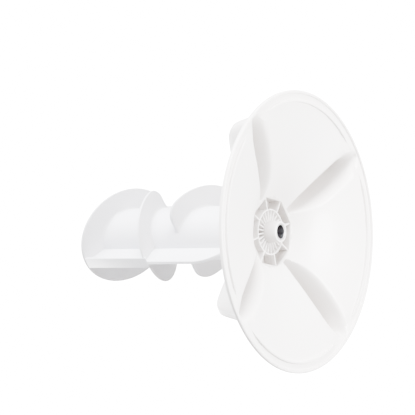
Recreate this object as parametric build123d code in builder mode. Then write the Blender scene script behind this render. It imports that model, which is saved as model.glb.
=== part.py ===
"""Washing machine agitator: a bell-shaped wash plate with four hollow vanes, and an auger
that turns on its centre post through a one-way clutch.

Frame: millimetres, +Z up along the drive axis, origin at the centre of the rim plane.
The auger's front fin and one of the four vanes point along +X.
"""
from build123d import *
from math import cos, radians, sin
import os

# ---------------------------------------------------------------- driving dimensions
RIM_RADIUS = 170.0
WALL = 3.0                      # moulded plastic wall of the plate and the auger

HUB_TOP = 66.0                  # flat top of the plate's hub
RECESS_CEILING = 61.0           # the hub is hollow from below, up to here
RECESS_RADIUS = 43.4            # octagon's corner radius
RECESS_EDGE = 46.0              # height of the octagon's edge in the underside
RING_RADIUS = 28.2
RING_EDGE = 47.5
BOSS_RADIUS = 12.8
BOSS_FACE = 33.0
BOSS_FLARE = 43.0               # the boss widens into the ceiling from here up
BOSS_FOOT = 21.0
SPOKE_COUNT = 8                 # one to each corner of the octagon
RIB = 1.4
FINE_RIB_COUNT = 24             # between the boss and the ring
FINE_RIB = 1.1
FINE_RIB_EDGE = 49.0

BORE_RADIUS = 8.5               # steel drive insert
INSERT_RADIUS = 10.6
SPLINE_ROOT = 8.8
SPLINE_RADIUS = 7.6
SPLINE_WIDTH = 1.8
SPLINE_START = 46.0
SPLINE_END = 60.0
SPLINE_COUNT = 12
BOLT_HOLE_RADIUS = 4.5

VANE_COUNT = 4
VANE_TIP = 162.0

COLLAR_RADIUS = 27.0            # collar on the hub that holds the post's foot
COLLAR_TOP = 80.0
FOOT_RADIUS = 24.0
FOOT_TOP = 72.0
POST_RADIUS = 16.0
POST_BORE = 12.5
POST_TOP = 272.0
POST_SHOULDER = 18.5
KEY_COUNT = 4                   # keyways that turn the clutch with the post
KEY_WIDTH = 4.0
KEY_DEPTH = 1.2

CORE_RADIUS = 34.0              # auger
CORE_BORE = 31.0
AUGER_BOTTOM = 70.4
AUGER_TOP = 303.0
FLIGHT_RADIUS = 61.2
FLIGHT = 3.2                    # thickness of the flights
FIN = 4.6                       # thickness of the fins
SHELF_BOTTOM = 238.0            # shelf inside the auger that hangs on the clutch
SHELF_TOP = 243.5
SHELF_BORE = 20.0

CLUTCH_BOTTOM = 246.0
CLUTCH_TOP = 262.0
CAM_RADIUS = 27.6
CAM_HUB = 19.0
PLATE_THICK = 2.5               # cam's floor and the retainer
DOG_COUNT = 4
DOG_PIVOT = 23.5
NOSE_ANGLE = 25.0               # place of a stowed dog's nose about the axis
STOP_ANGLE = 48.0               # cam's walls, past each dog's nose
TOOTH_COUNT = 24
TOOTH_TIP = 28.6
TOOTH_START = 30.1              # a tooth gap lies over each engaged dog's nose

RUN = 0.05                      # radial clearance of a running fit
GAP = 0.3                       # clearance between neighbours that do not bear


def ring(outer, inner, bottom, top):
    """A plain ring about the axis."""
    with BuildPart() as body:
        with BuildSketch(Plane.XY.offset(bottom)):
            Circle(outer)
            Circle(inner, mode=Mode.SUBTRACT)
        extrude(amount=top - bottom)
    return body.part


def seal_ring(radius, thickness, height):
    """A rubber ring of round section about the axis."""
    with BuildPart() as body:
        with BuildSketch(Plane.XZ):
            with Locations((radius, height)):
                Circle(thickness / 2)
        revolve(axis=Axis.Z)
    return body.part


def save(body, name):
    """Labels a finished piece and writes it."""
    body.label = name
    export_step(body, f"parts/{name}.step")


os.makedirs("parts", exist_ok=True)

# ---------------------------------------------------------------- wash plate
LIP = 4.0                       # flat foot that the rim stands on
BELL = [(RECESS_RADIUS, RECESS_EDGE), (60, 33.0), (85, 20.4), (110, 12.4), (136, 6.4), (155, 3.2),
        (RIM_RADIUS - LIP, 2.4)]        # underside, from the hub's edge to the lip
BACK = [(41.5, HUB_TOP), (47, 52.0), (62, 36.0), (85, 24.0), (110, 15.8), (136, 9.8), (156, 6.2),
        (RIM_RADIUS, 4.4)]      # upper side
CREST = [(0, 63.0), (70, 58.5), (110, 53.0), (131, 48.0), (142, 45.0), (151, 40.5), (VANE_TIP, 28.0)]
LEAF = [(46, 9.5), (65, 14.0), (85, 16.3), (110, 16.5), (136, 14.6), (153, 9.6)]
RIDGE_LENGTH = 0.87             # a vane's ridge against its foot
RIDGE_WIDTH = 0.36
RIDGE_HEIGHT = 68.0
VANE_SKIN = 2.4
STEP_RADIUS = 158.5             # arcs under the rim, one between each two vanes
STEP_THICK = 3.0
STEP_EDGE = 0.3
STEP_TOP = 5.0
STEP_BREAK = 44.0               # gap in the arcs where a vane passes


def leaf(length, width, inset, start):
    """A vane's leaf outline about the X axis, scaled, and moved in by an inset."""
    root = LEAF[0][0] + inset
    half = LEAF[0][1] * width - inset
    side_points = [(LEAF[0][0] + (x - LEAF[0][0]) * length, y * width - inset) for x, y in LEAF[1:]]
    tip = (LEAF[0][0] + (VANE_TIP - LEAF[0][0]) * length - inset, 0)
    with BuildSketch() as outline:
        with BuildLine():
            side = Spline([(root, half)] + side_points + [tip], tangents=[(1, 0.2), (0, -1)])
            mirror(side, about=Plane.XZ)
            Polyline((root, half), (start, half), (start, -half), (root, -half))
        make_face()
    return outline.sketch


def above_crest(drop):
    """The region above a vane's crest, lowered by a wall's thickness."""
    with BuildSketch() as region:
        with BuildLine():
            top = Spline([(x, z - drop) for x, z in CREST])
            Polyline(top @ 1, (VANE_TIP + 12, CREST[-1][1] - drop), (VANE_TIP + 12, 90), (0, 90),
                     top @ 0)
        make_face()
    return region.sketch


def vane_body(inset, drop, start):
    """One vane: a broad leaf lofted up to a slim one and trimmed to the crest."""
    foot = leaf(1, 1, inset, start)
    ridge = leaf(RIDGE_LENGTH, RIDGE_WIDTH, inset, start)
    crest = above_crest(drop)
    with BuildPart() as body:
        with BuildSketch():
            add(foot)
        with BuildSketch(Plane.XY.offset(RIDGE_HEIGHT)):
            add(ridge)
        loft()
        with BuildSketch(Plane.XZ):
            add(crest)
        revolve(axis=Axis.Z, mode=Mode.SUBTRACT)
    return body.part


vane = vane_body(-VANE_SKIN, 0, 32.0)
hollow = vane_body(0, WALL, LEAF[0][0] - 1)

with BuildPart() as wash_plate:
    with BuildSketch(Plane.XZ):
        with BuildLine():
            back = Spline(BACK)
            Polyline(back @ 1, (RIM_RADIUS, 0), (0, 0), (0, HUB_TOP), back @ 0)
        make_face()
    revolve(axis=Axis.Z)
    with PolarLocations(0, VANE_COUNT):
        add(vane)
    with BuildSketch(Plane.XZ):
        with BuildLine():
            under = Spline(BELL)
            Polyline(under @ 1, (RIM_RADIUS - LIP, -1), (0, -1), (0, RECESS_EDGE), under @ 0)
        make_face()
    revolve(axis=Axis.Z, mode=Mode.SUBTRACT)
    with PolarLocations(0, VANE_COUNT):
        add(hollow, mode=Mode.SUBTRACT)
    # Octagonal recess under the hub, with its ring, boss and ribs.
    with BuildSketch(Plane.XY.offset(RECESS_EDGE - 1)):
        RegularPolygon(RECESS_RADIUS, SPOKE_COUNT, rotation=180 / SPOKE_COUNT)
    extrude(amount=RECESS_CEILING - RECESS_EDGE + 1, mode=Mode.SUBTRACT)
    with BuildSketch(Plane.XY.offset(RING_EDGE)):
        Circle(RING_RADIUS)
        Circle(RING_RADIUS - RIB, mode=Mode.SUBTRACT)
        with PolarLocations((RECESS_RADIUS + RING_RADIUS - RIB) / 2, SPOKE_COUNT,
                            start_angle=180 / SPOKE_COUNT):
            Rectangle(RECESS_RADIUS - RING_RADIUS + RIB, RIB)
    extrude(amount=RECESS_CEILING - RING_EDGE)
    with BuildSketch(Plane.XY.offset(FINE_RIB_EDGE)):
        with PolarLocations((RING_RADIUS + BOSS_RADIUS) / 2, FINE_RIB_COUNT):
            Rectangle(RING_RADIUS - BOSS_RADIUS, FINE_RIB)
    extrude(amount=RECESS_CEILING - FINE_RIB_EDGE)
    with BuildSketch(Plane.XY.offset(BOSS_FACE)):
        Circle(BOSS_RADIUS)
    extrude(amount=RECESS_CEILING - BOSS_FACE)
    with BuildSketch(Plane.XZ):
        Polygon((BOSS_RADIUS - 1, BOSS_FLARE), (BOSS_RADIUS, BOSS_FLARE), (BOSS_FOOT, RECESS_CEILING),
                (BOSS_RADIUS - 1, RECESS_CEILING), align=None)
    revolve(axis=Axis.Z)
    # Collar that holds the post's foot.
    with BuildSketch(Plane.XY.offset(HUB_TOP)):
        Circle(COLLAR_RADIUS)
        Circle(FOOT_RADIUS, mode=Mode.SUBTRACT)
    extrude(amount=COLLAR_TOP - HUB_TOP)
    with BuildSketch(Plane.XY):
        Circle(INSERT_RADIUS)
    extrude(amount=HUB_TOP, mode=Mode.SUBTRACT)
    # Arcs that stiffen the rim between the vanes.
    with BuildSketch(Plane.XY.offset(STEP_EDGE)):
        Circle(STEP_RADIUS)
        Circle(STEP_RADIUS - STEP_THICK, mode=Mode.SUBTRACT)
        Rectangle(2 * RIM_RADIUS, STEP_BREAK, mode=Mode.SUBTRACT)
        Rectangle(STEP_BREAK, 2 * RIM_RADIUS, mode=Mode.SUBTRACT)
    extrude(amount=STEP_TOP - STEP_EDGE)
save(wash_plate.part, "wash_plate")

# ---------------------------------------------------------------- drive insert
with BuildPart() as drive_insert:
    with BuildSketch(Plane.XY.offset(BOSS_FACE)):
        Circle(INSERT_RADIUS)
    extrude(amount=HUB_TOP - BOSS_FACE)
    with BuildSketch(Plane.XY.offset(BOSS_FACE)):
        Circle(BORE_RADIUS)
    extrude(amount=SPLINE_START - BOSS_FACE, mode=Mode.SUBTRACT)
    with BuildSketch(Plane.XY.offset(SPLINE_START)):
        Circle(SPLINE_ROOT)
        with PolarLocations((SPLINE_ROOT + SPLINE_RADIUS) / 2, SPLINE_COUNT):
            Rectangle(SPLINE_ROOT - SPLINE_RADIUS + 0.4, SPLINE_WIDTH, mode=Mode.SUBTRACT)
    extrude(amount=SPLINE_END - SPLINE_START, mode=Mode.SUBTRACT)
    with BuildSketch(Plane.XY.offset(SPLINE_END)):
        Circle(BOLT_HOLE_RADIUS)
    extrude(amount=HUB_TOP - SPLINE_END, mode=Mode.SUBTRACT)
save(drive_insert.part, "drive_insert")

# ---------------------------------------------------------------- centre post
with BuildPart() as centre_post:
    with BuildSketch(Plane.XZ):
        Polygon((0, HUB_TOP), (FOOT_RADIUS, HUB_TOP), (FOOT_RADIUS, COLLAR_TOP - 1),
                (POST_RADIUS, COLLAR_TOP + 16), (POST_RADIUS, SHELF_BOTTOM - 6),
                (POST_SHOULDER, SHELF_BOTTOM - 4), (POST_SHOULDER, SHELF_BOTTOM - 1),
                (POST_RADIUS, SHELF_BOTTOM - 1), (POST_RADIUS, POST_TOP), (POST_BORE, POST_TOP),
                (POST_BORE, FOOT_TOP), (0, FOOT_TOP), align=None)
    revolve(axis=Axis.Z)
    with BuildSketch(Plane.XY.offset(HUB_TOP)):
        Circle(BOLT_HOLE_RADIUS)
    extrude(amount=FOOT_TOP - HUB_TOP, mode=Mode.SUBTRACT)
    with BuildSketch(Plane.XY.offset(CLUTCH_BOTTOM)):
        with PolarLocations(POST_RADIUS, KEY_COUNT, start_angle=45):
            Rectangle(2 * KEY_DEPTH, KEY_WIDTH)
    extrude(amount=POST_TOP - CLUTCH_BOTTOM, mode=Mode.SUBTRACT)
save(centre_post.part, "centre_post")

# ---------------------------------------------------------------- bearings and thrust spacer
with BuildPart() as lower_bearing:
    with BuildSketch(Plane.XZ):
        Polygon((COLLAR_RADIUS, HUB_TOP), (CORE_RADIUS, HUB_TOP), (CORE_RADIUS, AUGER_BOTTOM - RUN),
                (CORE_BORE - RUN, AUGER_BOTTOM - RUN), (CORE_BORE - RUN, COLLAR_TOP),
                (COLLAR_RADIUS, COLLAR_TOP), align=None)
    revolve(axis=Axis.Z)
save(lower_bearing.part, "lower_bearing")
save(ring(SHELF_BORE - RUN, POST_RADIUS, SHELF_BOTTOM - 1, SHELF_TOP), "upper_bearing")
save(ring(CAM_RADIUS, POST_RADIUS + GAP, SHELF_TOP + GAP, CLUTCH_BOTTOM), "thrust_spacer")

# ---------------------------------------------------------------- auger
# Flights are flat tilted discs. Each is given by its height on the axis, its rise along the fin
# direction, and how far along the fin direction it starts and ends.
TOP_FLIGHT = (275.4, 0.4875)
MIDDLE_FLIGHT = (223.9, -0.3525)
RUN_OUT = (212.0, -0.10)
LOWER_FLIGHT = (153.0, 0.48)
FLIGHT_END = 27.0               # how far past the axis a flight runs before it is cut off
FLIGHT_CORNER = 22.0
FIN_FOOT = (34.0, 92.0)         # where the front fin leaves the core
FIN_SHOULDER = (FLIGHT_RADIUS, 131.0)
BAND_WIDTH = 15.5               # flat band along the front fin's outer edge
BAND_THICK = 2.6
BACK_FIN_FOOT = (-34.0, 88.0)
BACK_FIN_SHOULDER = (-FLIGHT_RADIUS, 123.0)


def flight(height_and_rise, plan):
    """A flat tilted flight: its plan drawn up, cut to a slab along the tilted plane."""
    height, rise = height_and_rise
    reach = FLIGHT_RADIUS * abs(rise) + FLIGHT
    tilted = Plane(origin=(0, 0, height), x_dir=(1, 0, rise), z_dir=(-rise, 0, 1))
    with BuildPart() as body:
        with BuildSketch(Plane.XY.offset(height - reach)):
            add(plan)
        extrude(amount=2 * reach)
        with BuildSketch(tilted):
            Rectangle(4 * FLIGHT_RADIUS, 4 * FLIGHT_RADIUS)
        extrude(amount=FLIGHT / 2, both=True, mode=Mode.INTERSECT)
    return body.part


def flight_plan(low, high, side=0):
    """The flight circle between two places along the fin, with rounded corners where it is cut.
    side is +1 or -1 for a flight on one side of the fins only."""
    with BuildSketch() as plan:
        Circle(FLIGHT_RADIUS)
        with Locations(((low + high) / 2, 0)):
            Rectangle(high - low, 3 * FLIGHT_RADIUS, mode=Mode.INTERSECT)
        corners = [v for v in plan.vertices() if abs(v.Y) > FLIGHT_RADIUS / 2]
        if corners:
            fillet(corners, FLIGHT_CORNER)
        if side:
            with Locations((0, 1.5 * side * FLIGHT_RADIUS)):
                Rectangle(3 * FLIGHT_RADIUS, 3 * FLIGHT_RADIUS, mode=Mode.INTERSECT)
    return plan.sketch


UNCUT = 1.5 * FLIGHT_RADIUS
top_flight = flight(TOP_FLIGHT, flight_plan(-UNCUT, UNCUT))
middle_flight = flight(MIDDLE_FLIGHT, flight_plan(-UNCUT, UNCUT, -1))
run_out = flight(RUN_OUT, flight_plan(-FLIGHT_END, UNCUT, 1))
lower_flight = flight(LOWER_FLIGHT, flight_plan(-UNCUT, FLIGHT_END))


def top_flight_height(s):
    """Height of the top flight's middle plane, s along the fin direction."""
    return TOP_FLIGHT[0] + TOP_FLIGHT[1] * s


with BuildPart() as auger:
    with BuildSketch(Plane.XY.offset(AUGER_BOTTOM)):
        Circle(CORE_RADIUS)
    extrude(amount=AUGER_TOP - AUGER_BOTTOM)
    for blade in (top_flight, middle_flight, run_out, lower_flight):
        add(blade)
    # Front fin, then back fin, each drawn in the fin plane.
    with BuildSketch(Plane.XZ):
        with BuildLine():
            Polyline(FIN_SHOULDER, (FLIGHT_RADIUS, top_flight_height(FLIGHT_RADIUS)),
                     (CORE_BORE, top_flight_height(CORE_BORE)), (CORE_BORE, FIN_FOOT[1]), FIN_FOOT)
            ThreePointArc(FIN_FOOT, (54.0, 109.0), FIN_SHOULDER)
        make_face()
        with BuildLine():
            Polyline(BACK_FIN_SHOULDER, (-FLIGHT_RADIUS, top_flight_height(-FLIGHT_RADIUS)),
                     (-CORE_BORE, top_flight_height(-CORE_BORE)), (-CORE_BORE, BACK_FIN_FOOT[1]),
                     BACK_FIN_FOOT)
            ThreePointArc(BACK_FIN_FOOT, (-54.0, 103.0), BACK_FIN_SHOULDER)
        make_face()
    extrude(amount=FIN / 2, both=True)
    # Flat band on the front fin between the top and the middle flight.
    band_bottom = MIDDLE_FLIGHT[0] + MIDDLE_FLIGHT[1] * FLIGHT_RADIUS
    with BuildSketch(Plane.XY.offset(band_bottom)):
        with Locations((FLIGHT_RADIUS - BAND_THICK / 2, 0)):
            Rectangle(BAND_THICK, BAND_WIDTH)
    extrude(amount=top_flight_height(FLIGHT_RADIUS) - BAND_THICK - band_bottom)
    # The bore, the shelf that hangs on the clutch, and the ratchet teeth above it.
    with BuildSketch(Plane.XY.offset(AUGER_BOTTOM)):
        Circle(CORE_BORE)
    extrude(amount=AUGER_TOP - AUGER_BOTTOM, mode=Mode.SUBTRACT)
    with BuildSketch(Plane.XY.offset(SHELF_BOTTOM)):
        Circle(CORE_BORE + 1)
        Circle(SHELF_BORE, mode=Mode.SUBTRACT)
    extrude(amount=SHELF_TOP - SHELF_BOTTOM)
    with BuildSketch(Plane.XY.offset(SHELF_TOP)):
        with PolarLocations(0, TOOTH_COUNT, start_angle=TOOTH_START):
            Polygon((CORE_BORE + 0.6, -2.4), (CORE_BORE + 0.6, 2.0), (TOOTH_TIP, 1.0),
                    (TOOTH_TIP, -0.6), align=None)
    extrude(amount=CLUTCH_TOP - SHELF_TOP)
save(auger.part, "auger")

# ---------------------------------------------------------------- clutch
# Four dogs pivot between the cam's floor and the retainer. Turning one way they swing out into
# the auger's ratchet teeth, and turning the other way they fold in and the auger stays behind.
PIN_RADIUS = 1.8
NOSE_RADIUS = 27.4              # outer reach of a stowed dog
DOG_BOTTOM = CLUTCH_BOTTOM + PLATE_THICK + 0.2
DOG_TOP = CLUTCH_TOP - PLATE_THICK - 0.2

with BuildPart() as clutch_cam:
    with BuildSketch(Plane.XY.offset(CLUTCH_BOTTOM)):
        Circle(CAM_RADIUS)
    extrude(amount=PLATE_THICK)
    with BuildSketch(Plane.XY.offset(CLUTCH_BOTTOM)):
        Circle(CAM_HUB)
    extrude(amount=CLUTCH_TOP - CLUTCH_BOTTOM)
    # Walls that each stowed dog folds against.
    with BuildSketch(Plane.XY.offset(CLUTCH_BOTTOM)):
        with PolarLocations((CAM_HUB + CAM_RADIUS) / 2 - 1.2, DOG_COUNT, start_angle=STOP_ANGLE):
            Rectangle(CAM_RADIUS - CAM_HUB - 1.6, 3.0)
    extrude(amount=DOG_TOP - CLUTCH_BOTTOM)
    with BuildSketch(Plane.XY.offset(CLUTCH_BOTTOM)):
        Circle(POST_RADIUS)
        with PolarLocations(POST_RADIUS - KEY_DEPTH / 2 + 0.4, KEY_COUNT, start_angle=45):
            Rectangle(KEY_DEPTH + 0.8, KEY_WIDTH, mode=Mode.SUBTRACT)
    extrude(amount=CLUTCH_TOP - CLUTCH_BOTTOM, mode=Mode.SUBTRACT)
    with BuildSketch(Plane.XY.offset(CLUTCH_BOTTOM + 0.8)):
        with PolarLocations(DOG_PIVOT, DOG_COUNT):
            Circle(PIN_RADIUS + RUN)
    extrude(amount=PLATE_THICK, mode=Mode.SUBTRACT)
save(clutch_cam.part, "clutch_cam")

with BuildPart() as dog_retainer:
    with BuildSketch(Plane.XY.offset(CLUTCH_TOP - PLATE_THICK)):
        Circle(CAM_RADIUS)
        Circle(CAM_HUB, mode=Mode.SUBTRACT)
        with PolarLocations(DOG_PIVOT, DOG_COUNT):
            Circle(PIN_RADIUS + RUN, mode=Mode.SUBTRACT)
    extrude(amount=PLATE_THICK)
save(dog_retainer.part, "dog_retainer")

with BuildPart() as dog:
    with BuildSketch(Plane.XY.offset(DOG_BOTTOM)):
        Circle(26.0)
        Circle(22.4, mode=Mode.SUBTRACT)
        Polygon((0, 0), (40, 0), (40 * cos(radians(NOSE_ANGLE)), 40 * sin(radians(NOSE_ANGLE))),
                align=None, mode=Mode.INTERSECT)
        with Locations((DOG_PIVOT, 0)):
            Circle(3.0)
        with PolarLocations((22.6 + NOSE_RADIUS) / 2, 1, start_angle=NOSE_ANGLE):
            Rectangle(NOSE_RADIUS - 22.6, 3.4)
        Circle(NOSE_RADIUS, mode=Mode.INTERSECT)
    extrude(amount=DOG_TOP - DOG_BOTTOM)
    with BuildSketch(Plane.XY.offset(CLUTCH_BOTTOM + 1.0)):
        with Locations((DOG_PIVOT, 0)):
            Circle(PIN_RADIUS)
    extrude(amount=CLUTCH_TOP - CLUTCH_BOTTOM - 1.0)
for number in range(DOG_COUNT):
    turned = dog.part.rotate(Axis.Z, 360 / DOG_COUNT * number)
    save(turned, f"clutch_dog_{number + 1}")

# ---------------------------------------------------------------- bolt, its washer and its seal
SEAL_THICK = 3.0
BOLT_TRAVEL = 17.0              # from held up by the seal to screwed home
WASHER_BOTTOM = FOOT_TOP + SEAL_THICK + BOLT_TRAVEL
WASHER_THICK = 1.6
BOLT_RADIUS = 4.0
BOLT_TIP = SPLINE_END + 2.0
HEAD_HEIGHT = 6.4
HEAD_RADIUS = 7.5               # hexagon's corner radius

save(ring(9.0, BOLT_RADIUS + RUN, FOOT_TOP, FOOT_TOP + SEAL_THICK), "bolt_seal")
save(ring(10.0, BOLT_RADIUS, WASHER_BOTTOM, WASHER_BOTTOM + WASHER_THICK), "bolt_washer")
with BuildPart() as agitator_bolt:
    with BuildSketch(Plane.XY.offset(BOLT_TIP)):
        Circle(BOLT_RADIUS)
    extrude(amount=WASHER_BOTTOM + WASHER_THICK - BOLT_TIP)
    chamfer(agitator_bolt.edges().sort_by(Axis.Z)[0], 0.8)
    with BuildSketch(Plane.XY.offset(WASHER_BOTTOM + WASHER_THICK)):
        RegularPolygon(HEAD_RADIUS, 6)
    extrude(amount=HEAD_HEIGHT)
save(agitator_bolt.part, "agitator_bolt")

# ---------------------------------------------------------------- inner cap, a plug in the post
PLUG_BOTTOM = POST_TOP - 10.0
PLUG_RADIUS = POST_BORE - RUN
PLUG_BORE = POST_BORE - 3.4
PLUG_CEILING = POST_TOP - 2.4
FLANGE_RADIUS = POST_RADIUS - 0.4
FLANGE_TOP = POST_TOP + 2.2
PULL_TOP = POST_TOP + 11.0      # tab that is gripped to pull the plug out
PULL_LENGTH = 16.0
PULL_THICK = 3.0
INNER_RING = 1.9                # thickness of its rubber ring
INNER_RING_HEIGHT = POST_TOP - 6.0
GROOVE_PLAY = 0.4               # groove's width beyond its ring

with BuildPart() as inner_cap:
    with BuildSketch(Plane.XZ):
        Polygon((0, PLUG_CEILING), (PLUG_BORE, PLUG_CEILING), (PLUG_BORE, PLUG_BOTTOM),
                (PLUG_RADIUS, PLUG_BOTTOM), (PLUG_RADIUS, POST_TOP), (FLANGE_RADIUS, POST_TOP),
                (FLANGE_RADIUS, FLANGE_TOP), (0, FLANGE_TOP), align=None)
    revolve(axis=Axis.Z)
    with BuildSketch(Plane.XY.offset(FLANGE_TOP)):
        Rectangle(PULL_LENGTH, PULL_THICK)
    extrude(amount=PULL_TOP - FLANGE_TOP)
    with BuildSketch(Plane.XZ):
        with Locations((PLUG_RADIUS - INNER_RING / 2 + 1, INNER_RING_HEIGHT)):
            Rectangle(INNER_RING + 2, INNER_RING + GROOVE_PLAY)
    revolve(axis=Axis.Z, mode=Mode.SUBTRACT)
save(inner_cap.part, "inner_cap")
save(seal_ring(PLUG_RADIUS - INNER_RING / 2, INNER_RING, INNER_RING_HEIGHT), "inner_cap_ring")

# ---------------------------------------------------------------- top cap
CAP_TOP = 312.0
CAP_EDGE = AUGER_TOP + 3.5      # the dome starts here, over the auger's rim
CAP_SHOULDER = (29.0, CAP_TOP - 2.2)
CAP_WALL = 2.4
SKIRT_BOTTOM = AUGER_TOP - 12.0
SKIRT_RADIUS = CORE_BORE - RUN
SKIRT_BORE = SKIRT_RADIUS - 4.2
CAP_RING = 2.4                  # thickness of its rubber ring
CAP_RING_HEIGHT = AUGER_TOP - 7.0

with BuildPart() as top_cap:
    with BuildSketch(Plane.XZ):
        with BuildLine():
            Polyline((0, CAP_TOP - CAP_WALL), (22, CAP_TOP - CAP_WALL - 1), (SKIRT_BORE, AUGER_TOP),
                     (SKIRT_BORE, SKIRT_BOTTOM), (SKIRT_RADIUS, SKIRT_BOTTOM),
                     (SKIRT_RADIUS, AUGER_TOP), (CORE_RADIUS, AUGER_TOP), (CORE_RADIUS, CAP_EDGE))
            Spline((CORE_RADIUS, CAP_EDGE), CAP_SHOULDER, (0, CAP_TOP), tangents=[(0, 1), (-1, 0)])
            Line((0, CAP_TOP), (0, CAP_TOP - CAP_WALL))
        make_face()
    revolve(axis=Axis.Z)
    with BuildSketch(Plane.XZ):
        with Locations((SKIRT_RADIUS - CAP_RING / 2 + 1, CAP_RING_HEIGHT)):
            Rectangle(CAP_RING + 2, CAP_RING + GROOVE_PLAY)
    revolve(axis=Axis.Z, mode=Mode.SUBTRACT)
save(top_cap.part, "top_cap")
save(seal_ring(SKIRT_RADIUS - CAP_RING / 2, CAP_RING, CAP_RING_HEIGHT), "top_cap_ring")
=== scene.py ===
# %% [markdown]
# # A washing machine agitator in Blender
# An agitator stands in the middle of a top-loading washing machine and moves the washing.
# This one has two big white mouldings. A bell-shaped wash plate with four hollow vanes swings
# to and fro, and an auger with flat tilted flights turns one way round on the plate's post.
# This lesson dresses the CAD model: the two mouldings are made again as smooth meshes with
# rounded edges, and every hidden piece of the clutch keeps its CAD shape and gets a finish.
# Load the packed model first, because every place below is measured from it.

# %% Load the packed model
from math import asin, atan2, cos, degrees, pi, radians, sin
import bmesh
import bpy
import numpy as np
from mathutils import Matrix, Vector


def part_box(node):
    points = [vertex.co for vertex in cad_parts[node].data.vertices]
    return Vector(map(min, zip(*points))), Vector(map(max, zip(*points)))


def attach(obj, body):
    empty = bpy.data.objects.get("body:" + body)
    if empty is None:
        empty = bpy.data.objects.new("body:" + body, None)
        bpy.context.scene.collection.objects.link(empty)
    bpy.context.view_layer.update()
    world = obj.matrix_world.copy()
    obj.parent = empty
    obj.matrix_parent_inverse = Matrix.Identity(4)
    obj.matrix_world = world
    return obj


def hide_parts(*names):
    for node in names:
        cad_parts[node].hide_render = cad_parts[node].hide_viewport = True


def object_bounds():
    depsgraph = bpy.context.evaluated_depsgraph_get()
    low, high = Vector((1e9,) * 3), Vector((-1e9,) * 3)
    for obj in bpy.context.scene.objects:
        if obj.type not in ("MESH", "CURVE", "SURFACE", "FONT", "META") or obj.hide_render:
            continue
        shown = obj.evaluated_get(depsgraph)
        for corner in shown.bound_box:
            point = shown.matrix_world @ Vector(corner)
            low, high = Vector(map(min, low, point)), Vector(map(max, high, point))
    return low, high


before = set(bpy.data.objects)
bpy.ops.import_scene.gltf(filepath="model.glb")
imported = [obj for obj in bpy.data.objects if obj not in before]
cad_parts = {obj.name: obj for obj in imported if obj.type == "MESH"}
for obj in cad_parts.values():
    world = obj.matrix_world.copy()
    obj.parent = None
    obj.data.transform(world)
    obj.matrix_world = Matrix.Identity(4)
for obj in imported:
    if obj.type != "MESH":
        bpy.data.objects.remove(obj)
cad_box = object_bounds()
MM = 0.001
RIM_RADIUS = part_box("wash_plate")[1].x
print("rim radius", round(RIM_RADIUS / MM, 1), "mm, height", round(cad_box[1].z / MM, 1), "mm")

# %% [markdown]
# ## Camera
# The underside is the interesting side, so the camera looks up at it from below and lies on its
# side, with the drive axis across the view. Build the camera's axes from two directions: where
# it looks from, and which way is up in the view.

# %% Camera from below, rolled a quarter turn
CAMERA_PLACE = Vector((6.631, 4.818, -5.150)) * RIM_RADIUS
CAMERA_BACK = Vector((0.6642, 0.4593, -0.5899))
VIEW_UP = Vector((-0.5850, 0.8106, -0.0275))
back = CAMERA_BACK.normalized()
right = VIEW_UP.cross(back).normalized()
up = back.cross(right)

camera_data = bpy.data.cameras.new("camera")
camera_data.sensor_width, camera_data.lens = 36, 118.6
camera_data.clip_start, camera_data.clip_end = 0.1, 50
camera = bpy.data.objects.new("camera", camera_data)
camera.matrix_world = Matrix((
    (right.x, up.x, back.x, CAMERA_PLACE.x),
    (right.y, up.y, back.y, CAMERA_PLACE.y),
    (right.z, up.z, back.z, CAMERA_PLACE.z),
    (0, 0, 0, 1),
))
bpy.context.scene.collection.objects.link(camera)
bpy.context.scene.camera = camera
print("camera distance", round(CAMERA_PLACE.length, 3), "m")

# %% [markdown]
# ## Shader maths as Python
# A node tree is easier to read as an expression. `Field` wraps one socket, so that adding or
# multiplying two fields adds the Math node for it. `Finish` is one material: it holds the tree,
# makes any other node in one call, and ends in a Principled shader.

# %% Fields
class Field:
    """A value inside a node tree, with arithmetic."""

    def __init__(self, graph, socket):
        self.graph, self.socket = graph, socket

    def _join(self, operation, first, second):
        return self.graph.node("ShaderNodeMath", {"operation": operation}, {0: first, 1: second})

    def __add__(self, other): return self._join("ADD", self, other)
    def __radd__(self, other): return self._join("ADD", other, self)
    def __sub__(self, other): return self._join("SUBTRACT", self, other)
    def __rsub__(self, other): return self._join("SUBTRACT", other, self)
    def __mul__(self, other): return self._join("MULTIPLY", self, other)
    def __rmul__(self, other): return self._join("MULTIPLY", other, self)
    def __truediv__(self, other): return self._join("DIVIDE", self, other)
    def __rtruediv__(self, other): return self._join("DIVIDE", other, self)

# %% Node graphs
class Graph:
    """A node tree that grows by one method."""

    def __init__(self, tree):
        self.tree = tree

    def put(self, socket, value):
        if isinstance(value, Field):
            self.tree.links.new(value.socket, socket)
        else:
            socket.default_value = value

    def node(self, kind, settings, values, out=0):
        made = self.tree.nodes.new(kind)
        for key, value in settings.items():
            setattr(made, key, value)
        for key, value in values.items():
            self.put(made.inputs[key], value)
        return Field(self, made.outputs[out])

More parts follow.
